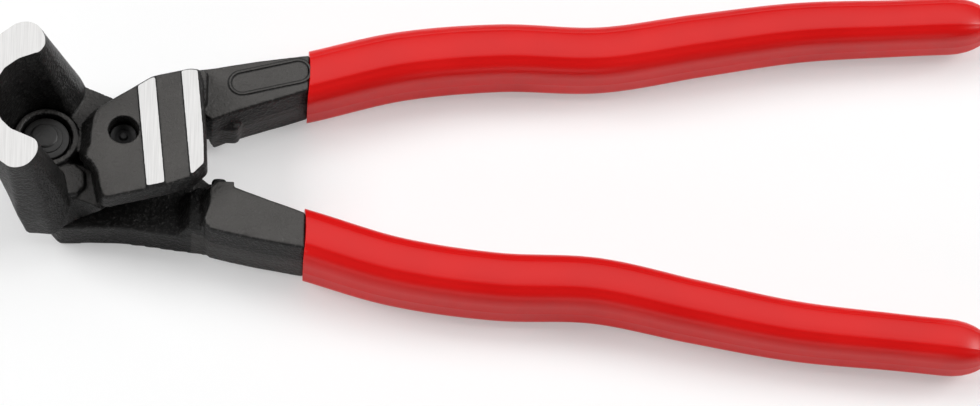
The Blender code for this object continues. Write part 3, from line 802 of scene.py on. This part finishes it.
# %% Sizes of the grips
GRIP_MOUTH = 50.95 * MM
GRIP_END = 185.8 * MM
TIP_LENGTH = 9.0 * MM
HANDLE_MIDDLE = -8.7 * MM
HANDLE_LINE = [
    (31.0, 11.9), (41.0, 14.9), (51.0, 17.5), (69.0, 22.8), (88.6, 25.4), (108.3, 25.65),
    (127.8, 29.6), (147.3, 33.2), (167.0, 34.9), (185.8, 36.4),
]
THICKNESS = [
    (51.0, 1.0), (92.0, 0.967), (125.0, 0.912), (155.0, 0.842), (170.0, 0.812), (185.8, 0.827),
]
HALF_WIDTH = 5.95 * MM
HALF_DEPTH = 6.65 * MM
PANEL_HALF_WIDTH = 3.0 * MM
PANEL_CROWN = 0.22 * MM
PANEL_STEP = 0.12 * MM
GRIP_CORNER = 3.6 * MM
PANEL_ACROSS = (0.0, 0.2, 0.4, 0.6, 0.8, 0.93)
EDGE_DROP = 0.03 * MM
STEP_WIDTH = 0.22 * MM
STEP_DROP = 0.05 * MM
CORNER_TURNS = range(72, -1, -9)
PARTING_RIDGE = 0.07 * MM
RIDGE_FOOT = 0.45 * MM
RIDGE_TOP = 0.12 * MM
MOUTH_DIP = 0.4 * MM
MOUTH_ROUND = 0.45 * MM
MOUTH_REACH = 4.0 * MM

# %% [markdown]
# A few known points are enough for the handle's line and its thickness: a smooth curve through
# them gives all the stations between. Each point's slope is taken from its two neighbours, so
# that the curve doesn't swing out between them.

# %% A curve through points


def curve_through(points):
    """A smooth function through (x, value) points."""
    slopes = []
    for i in range(len(points)):
        before, after = points[max(i - 1, 0)], points[min(i + 1, len(points) - 1)]
        slopes.append((after[1] - before[1]) / (after[0] - before[0]))

    def at(x):
        i = 0
        while i < len(points) - 2 and x > points[i + 1][0]:
            i += 1
        (x0, y0), (x1, y1) = points[i], points[i + 1]
        span = x1 - x0
        t = (x - x0) / span
        return (
            (2 * t**3 - 3 * t**2 + 1) * y0 + (t**3 - 2 * t**2 + t) * span * slopes[i]
            + (3 * t**2 - 2 * t**3) * y1 + (t**3 - t**2) * span * slopes[i + 1]
        )

    return at


# %% [markdown]
# The section is drawn as one quarter, from the middle of the panel to a fine ridge at the side,
# and is then mirrored twice. So its front and its back are alike, and so are its two sides.

# %% The grip's section


def grip_quarter():
    """The section from the middle of the front panel to the parting line."""
    edge = HALF_DEPTH - PANEL_CROWN
    shoulder = edge - PANEL_STEP
    points = [
        (PANEL_HALF_WIDTH * share, HALF_DEPTH - PANEL_CROWN * share**2) for share in PANEL_ACROSS
    ]
    points.append((PANEL_HALF_WIDTH, edge - EDGE_DROP))
    points.append((PANEL_HALF_WIDTH + STEP_WIDTH, shoulder - STEP_DROP))
    side = HALF_WIDTH - PARTING_RIDGE
    centre = (side - GRIP_CORNER, shoulder - GRIP_CORNER)
    for turn in CORNER_TURNS:
        angle = math.radians(turn)
        across, deep = GRIP_CORNER * math.cos(angle), GRIP_CORNER * math.sin(angle)
        points.append((centre[0] + across, centre[1] + deep))
    points.append((side, RIDGE_FOOT))
    points.append((HALF_WIDTH, RIDGE_TOP))
    return points


def mirrored_outline(quarter):
    right = quarter + [(y, -z) for y, z in reversed(quarter)]
    return right + [(-y, z) for y, z in reversed(right)][1:-1]


def loop_mesh(name, points, closed, thickness=None):
    """A mesh of edges only, a path or an outline, whose points carry a thickness."""
    mesh = bpy.data.meshes.new(name)
    edges = [(i, i + 1) for i in range(len(points) - 1)]
    if closed:
        edges.append((len(points) - 1, 0))
    mesh.from_pydata(points, edges, [])
    sizes = mesh.attributes.new("thickness", "FLOAT", "POINT")
    sizes.data.foreach_set("value", thickness or [1.0] * len(points))
    return mesh


# %% [markdown]
# The sweep makes two curves from meshes of edges: the path, kept upright so that it can't twist,
# and the outline. Curve to Mesh draws the outline along the path and closes the ends of an open
# one.

# %% The sweep


def sweep():
    recipe = Recipe("sweep_along_path", {"Profile": "Object", "Swell": "Float"})
    given = recipe.entry.outputs
    path = recipe.node("GeometryNodeMeshToCurve", Mesh=given["Geometry"]).outputs[0]
    upright = recipe.node("GeometryNodeSetCurveNormal", {"mode": "Z_UP"}, Curve=path)
    section = recipe.node("GeometryNodeObjectInfo", Object=given["Profile"])
    outline = recipe.node("GeometryNodeMeshToCurve", Mesh=section.outputs["Geometry"]).outputs[0]
    thickness = recipe.node("GeometryNodeInputNamedAttribute", Name="thickness").outputs[0]
    swept = recipe.node(
        "GeometryNodeCurveToMesh",
        Curve=upright.outputs[0],
        Profile_Curve=outline,
        Scale=recipe.value(thickness) * recipe.given("Swell"),
        Fill_Caps=True,
    )
    recipe.end(swept.outputs[0])
    return recipe


swept = sweep()
outline = [(y, z, 0) for y, z in mirrored_outline(grip_quarter())]
grip_section = new_piece("grip_section", loop_mesh("grip_section", outline, True))
print("grip section:", len(outline), "points")

# %% [markdown]
# The path starts a little before the mouth, so that the cut at the mouth is clean. At the far end
# the stations crowd together and the section shrinks nearly along a quarter of an ellipse, which
# gives the round end of the dip.

# %% Sweeping the grips
BEFORE_MOUTH = 3
GRIP_STEPS = 150
TIP_TURNS = (12, 24, 35, 45, 54, 62, 69, 75, 80, 84, 87)
TIP_POWER = 0.9


def grip_path(side):
    line = curve_through(HANDLE_LINE)
    thickness_at = curve_through(THICKNESS)
    first = GRIP_MOUTH / MM - BEFORE_MOUTH
    last = (GRIP_END - TIP_LENGTH) / MM
    stations = [(first + (last - first) * i / GRIP_STEPS, 1.0) for i in range(GRIP_STEPS + 1)]
    for turn in TIP_TURNS:
        angle = math.radians(turn)
        share = math.cos(angle) ** TIP_POWER
        stations.append((last + TIP_LENGTH / MM * math.sin(angle), share))
    points = [(x * MM, side * line(x) * MM, HANDLE_MIDDLE) for x, _ in stations]
    return points, [thickness_at(x) * share for x, share in stations]


# %% [markdown]
# The mouth is cut square to the tool, and a bevel rounds its edge. Its front and its back are
# then drawn back a little in the middle, as dipped plastic hangs.

# %% The mouth of a grip


def shape_mouth(piece, side):
    """Cuts the mouth, rounds its edge, and draws its front back in the middle."""
    shape = bmesh.new()
    shape.from_mesh(piece.data)
    bmesh.ops.bisect_plane(
        shape, geom=everything(shape), clear_inner=True,
        plane_co=(GRIP_MOUTH, 0, 0), plane_no=(1, 0, 0),
    )
    bmesh.ops.edgeloop_fill(shape, edges=open_edges(shape))
    at_mouth = {v for v in shape.verts if abs(v.co.x - GRIP_MOUTH) < SAME_PLACE}
    rim = [edge for edge in shape.edges if all(v in at_mouth for v in edge.verts)]
    bmesh.ops.bevel(
        shape, geom=rim, offset=MOUTH_ROUND, segments=4, profile=0.5,
        affect="EDGES", clamp_overlap=True,
    )
    middle = side * curve_through(HANDLE_LINE)(GRIP_MOUTH / MM) * MM
    for corner in shape.verts:
        along = 1 - (corner.co.x - GRIP_MOUTH) / MOUTH_REACH
        if along > 0:
            across = (corner.co.y - middle) / HALF_WIDTH
            front = min(1.0, abs(corner.co.z - HANDLE_MIDDLE) / HALF_DEPTH)
            corner.co.x += MOUTH_DIP * along * front**3 * max(0.0, 1 - across**2)
    bmesh.ops.recalc_face_normals(shape, faces=shape.faces)
    shape.to_mesh(piece.data)
    shape.free()


# %% [markdown]
# Both grips come from the same steps, on opposite sides. The sweep's result is kept as plain
# faces before the mouth is shaped, because cuts and bevels work on real corners.

# %% The two grips


def dipped_grip(name, node_name, body, side):
    points, thickness = grip_path(side)
    piece = new_piece(name, loop_mesh(name, points, False, thickness))
    swept.add_to(piece, Profile=grip_section, Swell=1.0, Material=red)
    keep_result(piece)
    shape_mouth(piece, side)
    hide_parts(node_name)
    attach(piece, body)
    reach = max(corner.co.x for corner in piece.data.vertices) / MM
    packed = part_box(node_name)[1][0] / MM
    print(name, count_triangles(piece), "triangles, ends at", round(reach, 2), "mm")
    print("its packed piece ends at", round(packed, 2), "mm")
    return piece


dipped_grip("upper_sleeve", "upper_grip", "upper_lever", 1)
dipped_grip("lower_sleeve", "lower_grip", "lower_lever", -1)
bpy.data.objects.remove(grip_section, do_unlink=True)

# %% [markdown]
# ## The oval on the upper arm
# A low rim frames a bare oval field on the upper arm. It is a bead along a closed path, so the
# sweep that made the grips makes this too, with a small flat arch for its section.

# %% The oval rim
RIM_HEIGHT = 0.24 * MM
END_STEPS = 24
ARCH_POINTS = 12


def oval_path():
    """Two half circles with straights between them, turned and set on the arm's front."""
    run = (OVAL_LENGTH - OVAL_WIDTH) / 2
    radius = OVAL_WIDTH / 2
    points = []
    for end in (1, -1):
        for i in range(END_STEPS + 1):
            angle = math.pi * i / END_STEPS - math.pi / 2
            point = (run + radius * math.cos(angle), radius * math.sin(angle))
            points.append(end * Vector(point))
    cos, sin = math.cos(OVAL_TURN), math.sin(OVAL_TURN)
    placed = []
    for point in points:
        x = OVAL_CENTRE[0] + point.x * cos - point.y * sin
        y = OVAL_CENTRE[1] + point.x * sin + point.y * cos
        placed.append((x * MM, y * MM, ARM_FRONT))
    return placed


arch = []
for i in range(ARCH_POINTS):
    angle = math.tau * i / ARCH_POINTS
    arch.append((RIM_HALF_WIDTH * math.cos(angle), RIM_HEIGHT * math.sin(angle), 0))
rim_section = new_piece("rim_section", loop_mesh("rim_section", arch, True))
oval_rim = new_piece("oval_rim", loop_mesh("oval_rim", oval_path(), True))
swept.add_to(oval_rim, Profile=rim_section, Swell=1.0, Material=steel)
keep_result(oval_rim)
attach(oval_rim, "upper_lever")
bpy.data.objects.remove(rim_section, do_unlink=True)
print("oval rim", count_triangles(oval_rim), "triangles")

# %% [markdown]
# ## The pins
# The main pin is riveted: its head is pressed flat, and the punch leaves a raised field with a
# crescent step beside it. It is built from rings, as on a lathe, but each ring may be shifted,
# which turns a plain shoulder into a crescent. The fulcrum pin sits deep in its hole in the front
# plate.

# %% Pieces made of rings
RING_POINTS = 64
SHARP_ANGLE = math.radians(40)


def ringed(name, centre, rings, node_name, body):
    """A solid of rings (radius, level, shift in x, shift in y), from its front to its back."""
    shape = bmesh.new()
    rows = []
    for radius, level, dx, dy in rings:
        row = []
        for i in range(RING_POINTS):
            angle = math.tau * i / RING_POINTS
            x = centre[0] + (dx + radius * math.cos(angle)) * MM
            y = centre[1] + (dy + radius * math.sin(angle)) * MM
            row.append(shape.verts.new((x, y, level * MM)))
        rows.append(row)
    for first, second in zip(rows, rows[1:]):
        for i in range(RING_POINTS):
            shape.faces.new((first[i - 1], second[i - 1], second[i], first[i]))
    shape.faces.new(rows[0])
    shape.faces.new(reversed(rows[-1]))
    bmesh.ops.recalc_face_normals(shape, faces=shape.faces)
    mesh = bpy.data.meshes.new(name)
    shape.to_mesh(mesh)
    shape.free()
    for face in mesh.polygons:
        face.use_smooth = True
    mesh.set_sharp_from_angle(angle=SHARP_ANGLE)
    mesh.materials.append(pin_steel)
    piece = new_piece(name, mesh)
    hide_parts(node_name)
    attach(piece, body)
    print(name, count_triangles(piece), "triangles")
    return piece


# %% [markdown]
# Each list of rings reads like a drawing of the pin's profile. It gives the radius and the level
# in millimetres, from the head down to the riveted end, which flares as if hammered into its
# hole. The last two numbers shift a ring sideways.

# %% The three pins
ringed("main_rivet", (0, 0), [
    (0.4, 0.0, -0.3, 0.35), (2.2, 0.0, -0.3, 0.35), (2.45, -0.06, -0.3, 0.35),
    (2.6, -0.32, -0.25, 0.3), (3.0, -0.36, -0.05, 0.05), (3.2, -0.42, 0, 0), (3.3, -0.62, 0, 0),
    (4.2, -0.64, 0, 0), (4.45, -0.72, 0, 0), (4.58, -0.95, 0, 0), (4.6, -2.3, 0, 0),
    (3.2, -2.3, 0, 0), (3.2, -6.8, 0, 0), (3.35, -7.3, 0, 0), (4.0, -7.98, 0, 0),
    (3.6, -8.0, 0, 0), (0.4, -8.0, 0, 0),
], "main_pivot_pin", "upper_lever")


def middle_of(node_name):
    """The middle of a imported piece's box."""
    low, high = (Vector(corner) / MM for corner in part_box(node_name))
    return (low + high) * 0.5 * MM


fulcrum = middle_of("fulcrum_pin")
print("fulcrum at", [round(value / MM, 2) for value in fulcrum[:2]])
ringed("fulcrum_rivet", fulcrum, [
    (0.3, 0.35, 0, 0), (0.6, 0.28, 0, 0), (0.9, -0.2, 0, 0), (1.6, -0.4, 0, 0), (2.3, 0.3, 0, 0),
    (2.5, 0.35, 0, 0), (2.65, 0.2, 0, 0), (2.7, -0.1, 0, 0), (2.7, -13.9, 0, 0),
    (2.95, -14.3, 0, 0), (3.55, -14.98, 0, 0), (3.2, -15.0, 0, 0), (0.4, -15.0, 0, 0),
], "fulcrum_pin", "upper_lever")

link = middle_of("link_pin")
ringed("link_rivet", link, [
    (0.4, -1.62, 0, 0), (1.6, -1.65, 0, 0), (2.0, -1.78, 0, 0), (2.2, -2.1, 0, 0),
    (2.2, -13.9, 0, 0), (2.45, -14.3, 0, 0), (3.05, -14.98, 0, 0), (2.7, -15.0, 0, 0),
    (0.4, -15.0, 0, 0),
], "link_pin", "lower_lever")

# %% [markdown]
# ## The table, the lamps and the camera
# The tool is shown on white, from above and from its lower handle's side, with a long lens that
# makes it look almost without perspective. The floor returns some white to the camera by itself,
# so that it stays white without strong lamps, and keeps a soft shadow under the tool.

# %% The stage
FLOOR_LEVEL = -15.5 * MM
FLOOR_REACH = 4.0
WHITE = (1, 1, 1, 1)
TABLE_WHITE = (0.95, 0.95, 0.95, 1)
TABLE_SHARE = 0.35
TABLE_GLOSS_SHARE = 0.1
ROOM_DIM = 0.08
ROOM_GLOSS_SHARE = 0.08


def shown_white(tree, to_camera, to_gloss):
    """How much plain white a surface sends to the camera, and to what reflects it."""
    path = tree.node("ShaderNodeLightPath")
    seen = tree.value(path.outputs["Is Camera Ray"]) + path.outputs["Is Transmission Ray"]
    return (seen * to_camera + tree.value(path.outputs["Is Glossy Ray"]) * to_gloss).clamped()


def white_table():
    finish = Finish("white_table")
    finish.surface(Base_Color=TABLE_WHITE, Roughness=0.9)
    glow = finish.node("ShaderNodeEmission", Color=WHITE, Strength=1.0)
    share = shown_white(finish, TABLE_SHARE, TABLE_GLOSS_SHARE)
    both = finish.node("ShaderNodeMixShader", Fac=share)
    plug(finish.tree, both.inputs[1], finish.shader.outputs[0])
    plug(finish.tree, both.inputs[2], glow.outputs[0])
    output = finish.tree.nodes["Material Output"]
    finish.tree.links.new(both.outputs[0], output.inputs["Surface"])
    return finish.material


shape = bmesh.new()
bmesh.ops.create_grid(shape, x_segments=1, y_segments=1, size=FLOOR_REACH / 2)
bmesh.ops.translate(shape, verts=shape.verts, vec=(0, 0, FLOOR_LEVEL))
floor_mesh = bpy.data.meshes.new("table")
shape.to_mesh(floor_mesh)
shape.free()
floor = new_piece("table", floor_mesh)
floor.data.materials.append(white_table())

# %% [markdown]
# Four soft lamps light the tool. The one overhead stands where the front flats mirror it towards
# the camera, which makes the ground steel bright. Two at the sides light the tool from its ends,
# and a weak one in front opens the sides that face the viewer.

# %% The lamps


TOOL_MIDDLE = Vector((80 * MM, 0, 0))


def soft_lamp(name, place, size, power):
    """A rectangular lamp that shines at the tool's middle."""
    lamp = bpy.data.lights.new(name, "AREA")
    lamp.shape = "RECTANGLE"
    lamp.size, lamp.size_y = size
    lamp.energy = power
    holder = bpy.data.objects.new(name, lamp)
    holder.location = place
    holder.rotation_mode = "QUATERNION"
    holder.rotation_quaternion = (TOOL_MIDDLE - Vector(place)).to_track_quat("-Z", "Y")
    bpy.context.scene.collection.objects.link(holder)
    print("lamp", name, power, "W")


soft_lamp("overhead", (0.09, 0.48, 0.95), (1.7, 0.6), 5.2)
soft_lamp("left_side", (-1.00, 0.15, 0.80), (0.7, 0.5), 11.0)
soft_lamp("right_side", (1.20, 0.15, 0.80), (0.7, 0.5), 11.0)
soft_lamp("front_fill", (-0.25, -1.05, 0.35), (1.4, 0.4), 2.2)

# %% [markdown]
# The room is dim for the tool and white for the camera. A mix of two backgrounds does this, with
# the kind of ray as its factor.

# %% The room
world = bpy.data.worlds.new("white_room")
world.use_nodes = True
room = Tree(world.node_tree)
dim = world.node_tree.nodes["Background"]
dim.inputs["Color"].default_value = WHITE
dim.inputs["Strength"].default_value = ROOM_DIM
white = room.node("ShaderNodeBackground", Color=WHITE, Strength=1.0)
shown = room.node("ShaderNodeMixShader", Fac=shown_white(room, 1.0, ROOM_GLOSS_SHARE))
plug(room.tree, shown.inputs[1], dim.outputs[0])
plug(room.tree, shown.inputs[2], white.outputs[0])
plug(room.tree, world.node_tree.nodes["World Output"].inputs["Surface"], shown.outputs[0])
bpy.context.scene.world = world
bpy.context.scene.view_settings.view_transform = "Standard"
print("room light:", ROOM_DIM)

# %% [markdown]
# The camera is set from what is seen: the point in the middle of the picture, the directions to
# the right and back, and how many pixels a millimetre takes. The lens follows from these and the
# distance.

# %% The camera
FRAME_WIDTH = 980
PIXELS_PER_MM = 5.1
CAMERA_DISTANCE = 3.0
SENSOR_WIDTH = 36.0
CAMERA_TARGET = Vector((87.3, -6.95, -8.7)) * MM
CAMERA_RIGHT = Vector((0.9993, 0.0179, 0.0333))
CAMERA_BACK = Vector((-0.0210, -0.4685, 0.8829))

back = CAMERA_BACK.normalized()
right = (CAMERA_RIGHT - back * CAMERA_RIGHT.dot(back)).normalized()
up = back.cross(right)
camera_data = bpy.data.cameras.new("camera")
camera_data.sensor_width = SENSOR_WIDTH
camera_data.lens = PIXELS_PER_MM * CAMERA_DISTANCE / MM * SENSOR_WIDTH / FRAME_WIDTH
camera_data.clip_start = 0.1
camera_data.clip_end = 100.0
camera = bpy.data.objects.new("camera", camera_data)
camera.matrix_world = Matrix((
    (right.x, up.x, back.x, CAMERA_TARGET.x + back.x * CAMERA_DISTANCE),
    (right.y, up.y, back.y, CAMERA_TARGET.y + back.y * CAMERA_DISTANCE),
    (right.z, up.z, back.z, CAMERA_TARGET.z + back.z * CAMERA_DISTANCE),
    (0, 0, 0, 1),
))
bpy.context.scene.collection.objects.link(camera)
bpy.context.scene.camera = camera
print("lens", round(camera_data.lens, 1), "mm")
